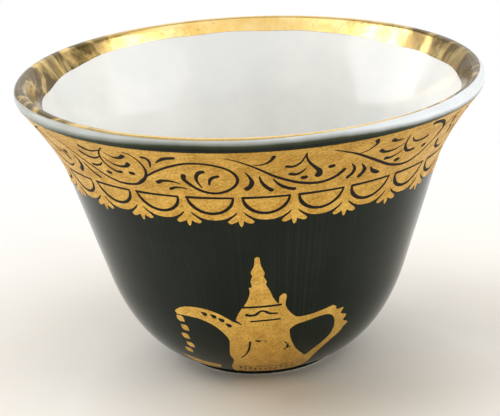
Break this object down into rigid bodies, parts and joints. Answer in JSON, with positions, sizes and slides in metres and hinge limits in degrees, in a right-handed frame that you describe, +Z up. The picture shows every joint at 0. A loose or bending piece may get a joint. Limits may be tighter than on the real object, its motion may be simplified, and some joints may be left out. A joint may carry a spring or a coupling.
{
  "type": "coffee cup",
  "caption": "Small handleless porcelain coffee cup with a flared round lip, a low foot ring and fired gold ornament on a dark green glaze.",
  "frame": {"origin": "centre of the foot ring, on the table", "axes": "+Z up along the cup's axis, -Y towards the front, where the coffee pot figure is"},
  "size_m": [0.065, 0.065, 0.0418],
  "materials": {
    "porcelain": "bare fired porcelain, fine and matt",
    "clear_glaze": "clear glaze over white porcelain, glossy",
    "green_glaze": "near-black green glaze, smooth and glossy",
    "bright_gold": "fired gold, burnished bright",
    "matt_gold": "fired gold, matt with a fine brushed grain"
  },
  "bodies": {
    "root": {"porcelain_body": "porcelain", "clear_glaze_lining": "clear_glaze", "clear_glaze_base": "clear_glaze", "green_glaze_coat": "green_glaze", "inner_gold_band": "bright_gold", "gold_border": "matt_gold", "coffee_pot_figure": "matt_gold"}
  },
  "joints": []
}
